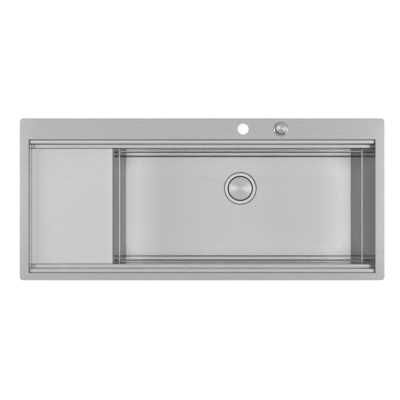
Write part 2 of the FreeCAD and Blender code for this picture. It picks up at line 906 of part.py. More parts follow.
def add_arms(body, top, thick, reach, hub, bore, half="arm_half"):
    """A hub with a bore, and three arms that carry it."""
    disc = circle(sketch_on(body, "XY_Plane", f"{top} - {thick}"), 0, 0, hub)
    pad(disc, thick)
    arm_sketch = sketch_on(body, "XY_Plane", f"{top} - {thick}")
    outline(arm_sketch, box_corners(0, reach, f"0 - {half}", half))
    arm = pad(arm_sketch, thick)
    around(body, [arm], 3)
    cut_through(circle(sketch_on(body, "XY_Plane", top), 0, 0, bore))


def make_waste_body():
    """A moulded body under the floor: chamber, cone and outlet, with a boss and a side tube."""
    body = new_body("waste_body")
    corners = [
        ("body_outer + body_flange", "body_top", None),
        ("body_radius", "body_top", None),
        ("body_radius", "chamber_low", None),
        ("outlet_radius - outlet_wall", "cone_low", None),
        ("outlet_radius - outlet_wall", "cone_low - outlet_length", None),
        ("outlet_radius", "cone_low - outlet_length", None),
        ("outlet_radius", "cone_low - body_wall / 2", None),
        ("body_outer", "chamber_low - body_wall / 2", None),
        ("body_outer", "body_top - body_flange_height", None),
        ("body_outer + body_flange", "body_top - body_flange_height", None),
    ]
    revolve(body, corners)
    tube = circle(sketch_on(body, "YZ_Plane", "body_radius"), "finger", "shaft_up", "tube_radius")
    pad(tube, "tube_out - body_radius")
    add_lug(body)
    add_arms(body, "boss_top", "boss_height", "body_radius + body_wall / 2", "boss_radius",
             "screw_radius + thread_fit", half="rib_half")
    bore = circle(sketch_on(body, "YZ_Plane", "body_radius - overrun"), "finger", "shaft_up",
                  "shaft_radius + shaft_fit")
    cut_to(bore, "tube_out - body_radius + 2 * overrun", backwards=True)
    return keep(at_drain(body), "waste_body")


def add_lug(body):
    """The lug beside the crank that holds the cable's gland."""
    sketch = sketch_on(body, "XZ_Plane", "lug_away - finger - lug_thick")
    low = "shaft_up - crank_length - lug_height / 2"
    outline(sketch, box_corners("body_radius", "shaft_out + lug_margin", low, f"{low} + lug_height"))
    pad(sketch, "lug_thick")
    hole = sketch_on(body, "XZ_Plane", "lug_away - finger - lug_thick - overrun")
    circle(hole, "(crank_out + shaft_out) / 2", "shaft_up - crank_length", "gland_radius")
    cut_to(hole, "lug_thick + 2 * overrun", backwards=True)


def make_clamp_screw():
    """A hollow screw that draws flange and body together; the lift pin slides in it."""
    body = new_body("clamp_screw")
    bore = "pin_radius + pin_fit"
    corners = [
        (bore, "boss_top - boss_height", None),
        ("screw_radius", "boss_top - boss_height", None),
        ("screw_radius", "hub_top", None),
        ("screw_head", "hub_top", None),
        ("screw_head", "screw_top", None),
        (bore, "screw_top", None),
    ]
    revolve(body, corners)
    return keep(at_drain(body), "clamp_screw")


def rod(name, radius, low, high, x="drain_right", y="drain_rear"):
    """An upright round rod."""
    piece = doc.addObject("Part::Cylinder", name)
    bind(piece, Radius=radius, Height=f"({high}) - ({low})")
    place(piece, x, y, low)
    return keep(piece, name)


def make_lift_shaft():
    """A shaft from the side with a finger whose round nose lifts the pin."""
    body = new_body("lift_shaft")
    shaft = circle(sketch_on(body, "YZ_Plane", "0 - finger_half"), "finger", "shaft_up", "shaft_radius")
    pad(shaft, "shaft_out + finger_half")
    finger = sketch_on(body, "YZ_Plane", "0 - finger_half")
    outline(finger, box_corners(0, "finger", "shaft_up - nose_radius", "shaft_up + nose_radius"))
    pad(finger, "2 * finger_half")
    nose = circle(sketch_on(body, "YZ_Plane", "0 - finger_half"), 0, "shaft_up", "nose_radius")
    pad(nose, "2 * finger_half")
    return keep(at_drain(body), "lift_shaft")


def make_shaft_seal():
    body = new_body("shaft_seal")
    sketch = sketch_on(body, "YZ_Plane", "tube_out")
    circle(sketch, "finger", "shaft_up", "shaft_radius + ring_fit + ring_width")
    circle(sketch, "finger", "shaft_up", "shaft_radius + ring_fit")
    pad(sketch, "crank_gap / 2")
    return keep(at_drain(body), "shaft_seal")


def make_crank_arm():
    """The arm outside the body that the cable pulls."""
    body = new_body("crank_arm")
    sketch = sketch_on(body, "YZ_Plane", "crank_out")
    corners = [
        ("finger - crank_radius", "shaft_up + crank_radius", "crank_radius * crank_end_share"),
        ("finger - crank_radius / 2", "shaft_up - crank_length - crank_radius / 2", "crank_tip"),
        ("finger + crank_radius / 2", "shaft_up - crank_length - crank_radius / 2", "crank_tip"),
        ("finger + crank_radius", "shaft_up + crank_radius", "crank_radius * crank_end_share"),
    ]
    outline(sketch, corners)
    pad(sketch, "crank_thick")
    holes = sketch_on(body, "YZ_Plane", "crank_out - overrun")
    circle(holes, "finger", "shaft_up", "shaft_radius")
    circle(holes, "finger", "shaft_up - crank_length", "crank_eye")
    cut_to(holes, "crank_thick + 2 * overrun", backwards=True)
    return keep(at_drain(body), "crank_arm")


def make_crank_screw():
    """The screw in the shaft's end that keeps the crank on."""
    body = new_body("crank_screw")
    head = circle(sketch_on(body, "YZ_Plane", "shaft_out"), "finger", "shaft_up", "crank_screw_head")
    pad(head, "crank_screw_height")
    return keep(at_drain(body), "crank_screw")


def make_waste_gland():
    """The gland in the lug, where the control's cable comes in."""
    body = new_body("waste_gland")
    sketch = sketch_on(body, "XZ_Plane", "lug_away - finger - lug_thick")
    across, up = "(crank_out + shaft_out) / 2", "shaft_up - crank_length"
    circle(sketch, across, up, "gland_radius")
    circle(sketch, across, up, "gland_bore")
    pad(sketch, "gland_length")
    return keep(at_drain(body), "waste_gland")


# Plug


def make_plug_cap():
    body = new_body("plug_cap")
    corners = [
        ("0", "cap_top", None),
        ("0", "cap_top - cap_thick", None),
        ("cap_radius - cap_thick", "cap_top - cap_thick", None),
        ("cap_radius - cap_thick", "cap_top - cap_skirt", None),
        ("cap_radius", "cap_top - cap_skirt", None),
        ("cap_radius", "cap_top", "cap_edge"),
    ]
    revolve(body, corners)
    return keep(at_drain(body), "plug_cap")


def make_strainer_basket():
    """A cup with slots round its side and drip holes in its foot."""
    body = new_body("strainer_basket")
    corners = [
        ("basket_radius", "basket_top", None),
        ("basket_foot_radius", "basket_low", "basket_bend"),
        ("stem_radius", "basket_low", None),
        ("stem_radius", "basket_low + basket_wall", None),
        ("basket_foot_radius - basket_wall", "basket_low + basket_wall", "basket_bend - basket_wall"),
        ("basket_radius - basket_wall", "basket_top", None),
    ]
    revolve(body, corners)
    low = "(basket_top + basket_low - basket_depth * slot_share) / 2"
    high = f"{low} + basket_depth * slot_share"
    slot = sketch_on(body, "YZ_Plane", "basket_foot_radius - 2 * basket_wall")
    outline(slot, box_corners("0 - slot_width / 2", "slot_width / 2", low, high))
    slot_cut = cut_to(slot, "basket_radius", backwards=True)
    around(body, [slot_cut], "slots")
    drip = circle(sketch_on(body, "XY_Plane", "basket_low - overrun"), "drip_ring", 0, "drip_radius")
    drip_cut = cut_to(drip, "2 * overrun", backwards=True)
    around(body, [drip_cut], "drips")
    return keep(at_drain(body), "strainer_basket")


def make_plug_seal():
    """The soft ring under the basket, shaped to the seat in the cup."""
    body = new_body("plug_seal")
    outer, inner = "plug_seal_outer", "seat_radius"
    seat = "seat_top - (cup_radius - %s) * seat_slope + plug_gap"
    corners = [
        ("plug_seal_inner", "basket_low", None),
        ("plug_seal_inner", seat % inner, None),
        (inner, seat % inner, None),
        (outer, seat % outer, None),
        (outer, "basket_low", None),
    ]
    revolve(body, corners)
    return keep(at_drain(body), "plug_seal")


# Rotary control


def at_control(body):
    place(body, "control_right", "deck_holes")
    return body


def make_knob_bezel():
    """The sloping ring that covers the collar of the control."""
    body = new_body("knob_bezel")
    corners = [
        ("collar_radius + bezel_fit", "rim_top", None),
        ("bezel_radius", "rim_top", None),
        ("bezel_radius", "rim_top + bezel_step", None),
        ("bezel_top_radius", "bezel_top", "bezel_edge"),
        ("knob_radius + knob_gap", "bezel_top", "bezel_lip"),
        ("knob_radius + knob_gap", "collar_top", None),
        ("collar_radius + bezel_fit", "collar_top", None),
    ]
    revolve(body, corners)
    return keep(at_control(body), "knob_bezel")


def make_knob_cap():
    """A hollow knob with a hub on the spindle."""
    body = new_body("knob_cap")
    corners = [
        ("0", "knob_top", None),
        ("0", "knob_top - knob_wall", None),
        ("spindle_radius", "knob_top - knob_wall", None),
        ("spindle_radius", "knob_under", None),
        ("knob_hub", "knob_under", None),
        ("knob_hub", "knob_top - knob_wall", None),
        ("knob_radius - knob_wall", "knob_top - knob_wall", None),
        ("knob_radius - knob_wall", "knob_under", None),
        ("knob_radius", "knob_under", None),
        ("knob_radius", "knob_top", "knob_edge"),
    ]
    revolve(body, corners)
    return keep(at_control(body), "knob_cap")


def make_control_housing():
    """The collar on the deck, the threaded neck through it and the drum's chamber."""
    body = new_body("control_housing")
    corners = [
        ("spindle_radius + spindle_fit", "collar_top", None),
        ("spindle_radius + spindle_fit", "drum_top + drum_fit", None),
        ("drum_room", "drum_top + drum_fit", None),
        ("drum_room", "neck_low", None),
        ("neck_radius", "neck_low", None),
        ("neck_radius", "collar_under", None),
        ("collar_radius", "collar_under", None),
        ("collar_radius", "collar_top", None),
    ]
    revolve(body, corners)
    return keep(at_control(body), "control_housing")


def make_control_nut():
    """A large nut with six flats that clamps the control to the deck."""
    body = new_body("control_nut")
    top = "seal_thick - washer_thick"
    sketch = sketch_on(body, "XY_Plane", f"{top} - nut_thick")
    corners = [(f"nut_outer * cos({60 * turn})", f"nut_outer * sin({60 * turn})", None) for turn in range(6)]
    outline(sketch, corners)
    circle(sketch, 0, 0, "neck_radius + nut_fit")
    pad(sketch, "nut_thick")
    return keep(at_control(body), "control_nut")


def make_control_cover():
    """The lid under the drum's chamber, with a hole for the cable's gland."""
    body = new_body("control_cover")
    sketch = circle(sketch_on(body, "XY_Plane", "neck_low - cover_thick"), 0, 0, "neck_radius")
    circle(sketch, "gland_right", 0, "gland_radius")
    pad(sketch, "cover_thick")
    return keep(at_control(body), "control_cover")


def make_control_gland():
    body = new_body("control_gland")
    sketch = circle(sketch_on(body, "XY_Plane", "neck_low - gland_length"), "gland_right", 0, "gland_radius")
    circle(sketch, "gland_right", 0, "gland_bore")
    pad(sketch, "gland_length")
    return keep(at_control(body), "control_gland")


def make_control():
    make_knob_bezel()
    make_knob_cap()
    make_control_housing()
    make_control_nut()
    make_control_cover()
    make_control_gland()
    x, y = "control_right", "deck_holes"
    inner = "neck_radius + nut_fit"
    ring("control_seal", inner, "collar_radius", "rim_top", "collar_under", x, y)
    ring("control_washer", inner, "nut_outer", "seal_thick - washer_thick", "seal_thick", x, y)
    rod("knob_spindle", "spindle_radius", "drum_low", "knob_top - knob_wall", x, y)
    ring("cable_drum", "spindle_radius", "drum_radius", "drum_low", "drum_top", x, y)


def make_waste():
    x, y = "drain_right", "drain_rear"
    make_waste_flange()
    ring("flange_seal", "drain_hole", "flange_radius - gasket", "recess_top", "flange_under", x, y)
    ring("lower_gasket", "drain_hole", "drain_hole + gasket_reach", "body_top", "recess_top - sheet", x, y)
    make_waste_body()
    make_clamp_screw()
    rod("lift_pin", "pin_radius", "pin_low", "pin_top")
    make_lift_shaft()
    make_shaft_seal()
    make_crank_arm()
    make_crank_screw()
    make_waste_gland()
    make_plug_cap()
    make_strainer_basket()
    rod("plug_stem", "stem_radius", "pin_top + pin_gap", "cap_top - cap_thick")
    make_plug_seal()


def check_document():
    """Stops on a failed object or a sub-part without a sound shape."""
    doc.recompute()
    for thing in doc.Objects:
        if "Invalid" in thing.State or "Error" in thing.State:
            raise RuntimeError(f"{thing.Label} failed: {thing.State}")
    for thing in parts:
        if thing.Shape.isNull() or not thing.Shape.isValid():
            raise RuntimeError(f"{thing.Label} has no sound shape")


def write_parts():
    """Writes each sub-part to a file named after it."""
    os.makedirs("parts", exist_ok=True)
    for thing in parts:
        thing.Shape.exportStep(f"parts/{thing.Label}.step")
        print(thing.Label, len(thing.Shape.Solids), round(thing.Shape.Volume))


make_rim_frame()
make_rim_seal()
make_ledge_rail("rear", "+")
make_ledge_rail("front", "-")
inside = make_sink_space()
make_left_end_panel(inside)
make_drainer_tray()
make_bowl_wrap()
make_end_panel("bowl_left_end", "left", "lip_end", inside)
make_end_panel("bowl_right_end", "right", "seal_thick", inside)
make_wall_pads()
make_floor_pads()
make_drainer_pad()
make_studs()
make_wing_nuts()
make_claws()
make_waste()
make_control()
check_document()
write_parts()
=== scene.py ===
import json
import math

import bmesh
import bpy
from bpy.props import FloatProperty, FloatVectorProperty, PointerProperty
from mathutils import Matrix, Vector


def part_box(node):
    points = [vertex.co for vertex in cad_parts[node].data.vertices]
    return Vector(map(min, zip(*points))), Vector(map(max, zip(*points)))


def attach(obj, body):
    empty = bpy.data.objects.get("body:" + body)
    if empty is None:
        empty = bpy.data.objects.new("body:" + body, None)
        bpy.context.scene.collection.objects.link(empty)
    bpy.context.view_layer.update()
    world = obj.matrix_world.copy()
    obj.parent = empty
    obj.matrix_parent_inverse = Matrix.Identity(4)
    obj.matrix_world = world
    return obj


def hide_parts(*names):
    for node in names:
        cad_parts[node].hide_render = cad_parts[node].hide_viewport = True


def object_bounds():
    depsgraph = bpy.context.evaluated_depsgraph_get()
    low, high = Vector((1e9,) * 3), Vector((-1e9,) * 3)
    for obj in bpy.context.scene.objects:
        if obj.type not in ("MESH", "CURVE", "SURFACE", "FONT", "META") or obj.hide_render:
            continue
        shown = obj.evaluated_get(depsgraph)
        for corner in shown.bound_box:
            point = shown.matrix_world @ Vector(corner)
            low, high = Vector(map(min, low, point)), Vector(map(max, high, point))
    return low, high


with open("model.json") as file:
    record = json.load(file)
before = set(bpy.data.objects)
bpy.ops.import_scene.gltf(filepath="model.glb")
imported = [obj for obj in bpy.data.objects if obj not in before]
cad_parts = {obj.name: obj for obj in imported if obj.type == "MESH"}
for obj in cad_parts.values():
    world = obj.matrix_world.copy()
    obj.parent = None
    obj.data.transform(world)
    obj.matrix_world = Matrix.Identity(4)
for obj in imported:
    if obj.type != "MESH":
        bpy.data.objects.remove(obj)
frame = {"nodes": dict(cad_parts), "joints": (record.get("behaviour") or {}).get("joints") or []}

bl_info = {
    "name": "Kitchen Sink Finish",
    "version": (1, 0, 0),
    "blender": (4, 5, 0),
    "location": "View3D > Sidebar > Sink",
    "description": "Dresses an inset steel sink with its drainer, waste and control",
    "category": "Object",
}

CAD_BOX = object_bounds()
RIM_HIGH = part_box("rim_frame")[1]
BOWL_LOW, BOWL_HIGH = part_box("bowl_wrap")
ALONG_X, ALONG_Y = 0, 1

# Depths of the mid ledge and of the floor's edge below the rim, in metres, and their levels

MID_LEDGE_DEPTH = 0.100
BOWL_DEPTH = 0.200
MID_LEDGE = RIM_HIGH.z - MID_LEDGE_DEPTH
BOWL_FLOOR = RIM_HIGH.z - BOWL_DEPTH

# A point above the bowl's middle, which the faces inside the bowl look at

OVER_RIM = 0.1
OVER_BOWL = ((BOWL_LOW.x + BOWL_HIGH.x) / 2, (BOWL_LOW.y + BOWL_HIGH.y) / 2, RIM_HIGH.z + OVER_RIM)

# Outer radii that carry threads, in metres

OUTLET_RADIUS = 0.0239
NECK_RADIUS = 0.0166
STUD_RADIUS = 0.0025

# Rings of painted shade, as two radii in metres

BEZEL_FOOT = (0.0222, 0.0236)
KNOB_EDGE = (0.0162, 0.0186)
KNOB_GAP = (0.0162, 0.0192)
CAP_GAP = (0.0422, 0.0473)
SEAT_EDGE = (0.0580, 0.0608)

# Bands of painted shade, as two distances in metres from an edge or a level

REAR_GAP_SHADE = (-0.005, -0.001)
FRONT_GAP_SHADE = (0.001, 0.004)
TRAY_DROP = (-0.005, 0.001)
TRAY_END_TOP = (-0.0095, -0.003)
TRAY_END_FOOT = (-0.024, -0.0175)
REAR_FOOT = (0.0003, 0.0028)
REAR_UNDER_LIP = (-0.060, -0.030)
FRONT_UNDER_LIP = (-0.067, -0.036)

# How far the painted shade of a crease of the floor reaches to each side of its fold, in metres

CREASE_WIDTH = 0.0010

# How far the painted light may brighten the bowl's floor, as a share

FLOOR_PAINTED_LIGHT_LIMIT = 1.85

# Brushed steel: how much longer than wide a streak is, and how many streaks a broad band takes

STREAK_LENGTH = 60
BAND_WIDTH = 8

# How far its fine streaks, its broad bands and its slow drift change the tone, as shares

STREAK_TONE = 0.10
BAND_TONE = 0.018
DRIFT_TONE = 0.03

# Where the lamps stand, what the side lamps look at, and how wide they are, in metres

SIDE_LAMP_ASIDE = 2.36
SIDE_LAMP_SHIFT = -0.06
SIDE_LAMP_REAR = 0.1
SIDE_LAMP_HEIGHT = 1.46
SIDE_LAMP_AIM = (0.2, -0.1)
SIDE_LAMP_WIDTH = 1.5
TOP_LAMP_HEIGHT = 2.4
TOP_LAMP_WIDTH = 2.0

# The floor, in metres

FLOOR_REACH = 5
FLOOR_BELOW = 0.0005


def middle_of(node):
    """The centre of a node's box."""
    low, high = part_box(node)
    return (low + high) / 2


# Sizes and colours that a user may change


def tone(name, description, grey, warmth=0.0):
    """A colour property near a grey."""
    default = (grey * (1 + warmth), grey, grey * (1 - warmth))
    return FloatVectorProperty(name=name, description=description, default=default, subtype="COLOR",
                               size=3, min=0.0, max=1.0)


def length(name, description, default):
    """A length in metres."""
    return FloatProperty(name=name, description=description, default=default, min=0.0, unit="LENGTH",
                         precision=5)


def share(name, description, default, most=1.0):
    """A plain number from 0 up."""
    return FloatProperty(name=name, description=description, default=default, min=0.0, max=most,
                         subtype="FACTOR")


class SinkColours(bpy.types.PropertyGroup):
    """Colours of the steel, plastic and rubber"""
    rim: tone("Rim", "Brushed steel of the rim plate", 0.47)
    rail: tone("Ledges", "Brushed steel of the folded ledges", 0.55)
    tray: tone("Drainer", "Brushed steel of the drainer", 0.565)
    bowl: tone("Bowl", "Brushed steel of the bowl's floor and long walls", 0.55)
    # Painted shade: the bowl's ends get a far darker grey than the bowl, though both are the same brushed
    # steel.
    ends: tone("Bowl ends", "Brushed steel of the welded ends", 0.185)
    # A painted highlight: the drainer's end gets a lighter grey than the drainer.
    tray_end: tone("Drainer end", "Brushed steel of the drainer's end", 0.9)
    polished: tone("Polished steel", "Polished rings of waste and control", 0.66)
    turned: tone("Turned cap", "Turned steel of the waste's cap and strainer", 0.57)
    knob: tone("Knob", "Turned steel of the control's knob", 0.61)
    zinc: tone("Zinc", "Zinc plating of studs, nuts and claws", 0.48, 0.01)
    foam: tone("Foam", "Foam tape under the rim", 0.09)
    pad: tone("Pads", "Sound deadening pads", 0.16)
    rubber: tone("Rubber", "Rubber seals", 0.05)
    plastic: tone("Dark plastic", "Moulded waste body and control housing", 0.10)
    gland: tone("Pale plastic", "Glands, crank and shaft", 0.42, 0.02)


class SinkFinish(bpy.types.PropertyGroup):
    """Grain and gloss of the steel"""
    streak: length("Streak width", "Width of the brushed streaks", 0.0006)
    streak_depth: length("Streak depth", "Depth of the brushed streaks", 0.00002)
    ring_pitch: length("Ring pitch", "Width of the turned rings", 0.0005)
    ring_spread: share("Ring spread", "How far turned rings spread a gleam", 1.0)
    steel_roughness: share("Steel roughness", "Roughness of the brushed steel", 0.21)
    floor_roughness: share("Floor roughness", "Roughness of the bowl's floor and the drainer", 0.45)
    floor_metal: share("Floor sheen", "How much of a mirror the floor and the drainer are", 0.12)
    end_roughness: share("End roughness", "Roughness of the bowl's ends", 0.13)
    wear: share("Wear", "How much drift and smudges show", 0.5)


class SinkSizes(bpy.types.PropertyGroup):
    """Sizes of the fine forms"""
    pad_edge: length("Pad edge", "Rounding of the deadening pads", 0.0008)
    stud_pitch: length("Stud pitch", "Pitch of the studs' thread", 0.0008)
    outlet_pitch: length("Outlet pitch", "Pitch of the outlet's thread", 0.0023)
    neck_pitch: length("Neck pitch", "Pitch of the control neck's thread", 0.0015)


class SinkStage(bpy.types.PropertyGroup):
    """Camera, lamps, floor and surroundings"""
    camera_height: length("Camera height", "Height of the camera above the rim", 1.2013)
    camera_right: FloatProperty(name="Camera right", description="Camera's place to the right",
                                default=0.0124, unit="LENGTH", precision=5)
    camera_rear: FloatProperty(name="Camera rear", description="Camera's place to the rear",
                               default=-0.0198, unit="LENGTH", precision=5)
    lens: FloatProperty(name="Lens", description="Focal length in millimetres", default=34.05, min=1.0)
    shift_across: FloatProperty(name="Shift across", description="Lens shift, as a share of the width",
                                default=-0.015)
    shift_up: FloatProperty(name="Shift up", description="Lens shift, as a share of the width",
                            default=0.0139)
    shade: share("Shade", "How far reflections darken between the lights above and the walls", 0.42)
    sky: share("Sky", "How strongly the surroundings light matt surfaces", 0.28, 2.0)
    side_power: FloatProperty(name="Side lamps", description="Power of each side lamp", default=20.0, min=0.0)
    top_power: FloatProperty(name="Top lamp", description="Power of the lamp above", default=31.0,
                             min=0.0)
    floor: share("Floor", "Colour of the floor in the light that it gives back", 0.85)
    floor_seen: share("Seen floor", "Colour of the floor to the eye, before it is lifted to white", 0.4)
    floor_glow: share("Floor glow", "How far the floor is lifted to white", 0.75, 2.0)
    floor_mirrored: share("Mirrored floor", "How far the floor is lifted in reflections", 0.2, 2.0)


class SinkSettings(bpy.types.PropertyGroup):
    """All the settings of the sink"""
    colours: PointerProperty(type=SinkColours)
    finish: PointerProperty(type=SinkFinish)
    sizes: PointerProperty(type=SinkSizes)
    stage: PointerProperty(type=SinkStage)


def settings():
    """The scene's settings for the sink."""
    return bpy.context.scene.sink


# Shader nodes


def node(tree, kind, setup=None, **inputs):
    """A shader node; its inputs are values or sockets, and an underscore stands for a space."""
    made = tree.nodes.new(f"ShaderNode{kind}")
    for name, value in (setup or {}).items():
        setattr(made, name, value)
    for name, value in inputs.items():
        socket = made.inputs[name.replace("_", " ")]
        if isinstance(value, bpy.types.NodeSocket):
            tree.links.new(value, socket)
        else:
            socket.default_value = value
    return made


def new_surface(name, colour, roughness, metallic=0.0):
    """A material with its shader, and the values that are the same all over."""
    material = bpy.data.materials.new(name)
    material.use_nodes = True
    tree = material.node_tree
    shader = tree.nodes["Principled BSDF"]
    shader.inputs["Base Color"].default_value = (*colour, 1.0)
    shader.inputs["Roughness"].default_value = roughness
    shader.inputs["Metallic"].default_value = metallic
    return material, tree, shader


def object_place(tree, centre=(0, 0, 0), stretch=(1, 1, 1)):
    """Object coordinates from a centre, stretched."""
    place = node(tree, "TexCoord").outputs["Object"]
    shift = [-c * s for c, s in zip(centre, stretch)]
    return node(tree, "Mapping", Vector=place, Location=shift, Scale=stretch).outputs["Vector"]


def noise(tree, where, detail=2.0, roughness=0.5):
    """Noise over a place that is already stretched to scale."""
    made = node(tree, "TexNoise", Vector=where, Scale=1.0, Detail=detail, Roughness=roughness)
    return made.outputs["Fac"]


def spread(tree, value, low, high, start=0.35, end=0.65):
    """Maps a value from one range onto another, and holds it there."""
    made = node(tree, "MapRange", Value=value, From_Min=start, From_Max=end, To_Min=low, To_Max=high)
    return made.outputs["Result"]


def combined(tree, operation, first, second=0.0):
    """One step of arithmetic on sockets or numbers."""
    made = node(tree, "Math", {"operation": operation})
    for socket, value in zip(made.inputs, (first, second)):
        if isinstance(value, bpy.types.NodeSocket):
            tree.links.new(value, socket)
        else:
            socket.default_value = value
    return made.outputs[0]


def product(tree, *values):
    """Multiplies sockets together."""
    result = values[0]
    for value in values[1:]:
        result = combined(tree, "MULTIPLY", result, value)
    return result


def length_of(tree, vector):
    """The length of a vector."""
    made = node(tree, "VectorMath", {"operation": "LENGTH"})
    tree.links.new(vector, made.inputs[0])
    return made.outputs["Value"]


def tinted(tree, colour, strength):
    """A colour scaled by a socket."""
    made = node(tree, "VectorMath", {"operation": "SCALE"}, Scale=strength)
    made.inputs[0].default_value = colour
    return made.outputs["Vector"]


def bump(tree, shader, height, depth):
    """Raises the surface by a height from 0 to 1."""
    made = node(tree, "Bump", Height=height, Distance=depth, Strength=1.0)
    tree.links.new(made.outputs["Normal"], shader.inputs["Normal"])


def brushed_steel(name, colour, along, painted_shading=None, rough=None, upright=None, metal=1.0, mirror_shade=None):
    """Steel brushed along one axis: fine streaks, and a slow drift of tone and gloss.

    Upright faces may have their own roughness, and matt flat ones may be less of a mirror. A further tone
    paints light and shade into the colour, and a tone for the tint paints shade into what the steel mirrors
    where it is seen edge on.
    """
    finish = settings().finish
    rough = rough or finish.steel_roughness
    material, tree, shader = new_surface(name, colour, rough, metal)
    across = 1 / finish.streak
    stretch = [across, across, across]
    stretch[along] = across / STREAK_LENGTH
    streaks = noise(tree, object_place(tree, stretch=stretch), 3.0, 0.6)
    broad = [v / BAND_WIDTH for v in stretch]
    bands = noise(tree, object_place(tree, stretch=broad), 2.0)
    drift = noise(tree, object_place(tree, stretch=(5, 5, 5)), 3.0)
    shades = []
    for pattern, amount in ((streaks, STREAK_TONE), (bands, BAND_TONE), (drift, DRIFT_TONE)):
        shades.append(spread(tree, pattern, 1 - amount * finish.wear, 1 + amount * finish.wear))
    if painted_shading:
        shades.append(painted_shading(tree))
    tree.links.new(tinted(tree, colour, product(tree, *shades)), shader.inputs["Base Color"])
    gloss = product(tree, spread(tree, bands, rough * 0.97, rough * 1.03), spread(tree, drift, 0.95, 1.06))
    if upright:
        gloss = product(tree, gloss, face_tone(tree, upright / rough, 1.0))
        tree.links.new(face_tone(tree, 1.0, metal, 1.0), shader.inputs["Metallic"])
    tree.links.new(gloss, shader.inputs["Roughness"])
    if mirror_shade:
        tree.links.new(tinted(tree, (1, 1, 1), mirror_shade(tree)), shader.inputs["Specular Tint"])
    bump(tree, shader, streaks, finish.streak_depth)
    return material


def facing_in(tree):
    """1 on faces that look into the bowl or up, and 0 on the sink's outside."""
    coords = node(tree, "TexCoord")
    towards = node(tree, "VectorMath", {"operation": "SUBTRACT"})
    towards.inputs[0].default_value = OVER_BOWL
    tree.links.new(coords.outputs["Object"], towards.inputs[1])
    match = node(tree, "VectorMath", {"operation": "DOT_PRODUCT"})
    tree.links.new(towards.outputs["Vector"], match.inputs[0])
    tree.links.new(coords.outputs["Normal"], match.inputs[1])
    return spread(tree, match.outputs["Value"], 0.0, 1.0, -0.002, 0.002)


def face_tone(tree, upright, flat, outside=1.0, steep=0.15, level=0.6):
    """A tone for upright faces and one for flat faces, blended over the bends, and one for the outside; in a
    colour it is painted light and shade.
    """
    normal = node(tree, "TexCoord").outputs["Normal"]
    up = node(tree, "SeparateXYZ", Vector=normal).outputs["Z"]
    inside = spread(tree, combined(tree, "ABSOLUTE", up), upright, flat, steep, level)
    return node(tree, "Mix", Factor=facing_in(tree), A=outside, B=inside).outputs["Result"]


def only_inside(tree, value):
    """A tone that leaves the sink's outside as it is."""
    return node(tree, "Mix", Factor=facing_in(tree), A=1.0, B=value).outputs["Result"]


def place_along(tree, axis):
    """A point's place along one axis."""
    place = node(tree, "TexCoord").outputs["Object"]
    return node(tree, "SeparateXYZ", Vector=place).outputs[axis]


def off_from(tree, value, middle):
    """How far a value lies from a middle, on either side."""
    return combined(tree, "ABSOLUTE", combined(tree, "SUBTRACT", value, middle))


def painted_band_shade(tree, axis, level, band, inside, soft=0.0005):
    """A painted shade between two distances from a level on one axis, and 1 outside them."""
    half = (band[1] - band[0]) / 2
    off = off_from(tree, place_along(tree, axis), level + band[0] + half)
    return spread(tree, off, inside, 1.0, half - soft, half + soft)


def painted_ring_shade(tree, centre, ring, inside, soft=0.0004):
    """A painted shade between two radii about an upright axis, and 1 outside them."""
    away = length_of(tree, object_place(tree, centre, (1, 1, 0)))
    half = (ring[1] - ring[0]) / 2
    off = off_from(tree, away, ring[0] + half)
    return spread(tree, off, inside, 1.0, half - soft, half + soft)


def rear_or_front(tree, rear, front):
    """One tone for the half towards the rear and one for the half towards the front."""
    side = spread(tree, place_along(tree, "Y"), 0.0, 1.0, -0.001, 0.001)
    return node(tree, "Mix", Factor=side, A=front, B=rear).outputs["Result"]


def painted_light_rise(tree, axis, edge, reach, most, ease):
    """A painted light that rises from 1 towards an edge of a floor."""
    near = spread(tree, place_along(tree, axis), 0.0, 1.0, edge + reach, edge)
    return spread(tree, combined(tree, "POWER", near, ease), 1.0, most, 0.0, 1.0)


def shade_from(tree, edge, reach, deep, ease):
    """A shade that is deepest at an edge and fades out above it, or below it for a negative reach."""
    up = place_along(tree, "Z")
    near = combined(tree, "POWER", spread(tree, up, 0.0, 1.0, edge, edge + reach), ease)
    step = math.copysign(0.0003, reach)
    past = spread(tree, up, 0.0, 1.0, edge + step, edge - step)
    return combined(tree, "MAXIMUM", spread(tree, near, deep, 1.0, 0.0, 1.0), past)


def measured(tree, centre, direction):
    """How far a point lies from a centre along a level direction."""
    made = node(tree, "VectorMath", {"operation": "DOT_PRODUCT"})
    tree.links.new(object_place(tree, centre), made.inputs[0])
    made.inputs[1].default_value = direction
    return made.outputs["Value"]


def crease_shade(tree, centre, corner, width, deep):
    """A painted shade in a fine line along a fold from a centre towards a corner, fading as it goes."""
    reach = Vector((corner[0] - centre.x, corner[1] - centre.y, 0))
    along = reach.normalized()
    off = combined(tree, "ABSOLUTE", measured(tree, centre, (-along.y, along.x, 0)))
    far = measured(tree, centre, along)
    line = spread(tree, off, 1.0, 0.0, 0.0, width)
    fading = spread(tree, far, deep, 0.0, 0.0, reach.length)
    one_way = spread(tree, far, 0.0, 1.0, 0.0, 0.001)
    return combined(tree, "SUBTRACT", 1.0, product(tree, line, fading, one_way))


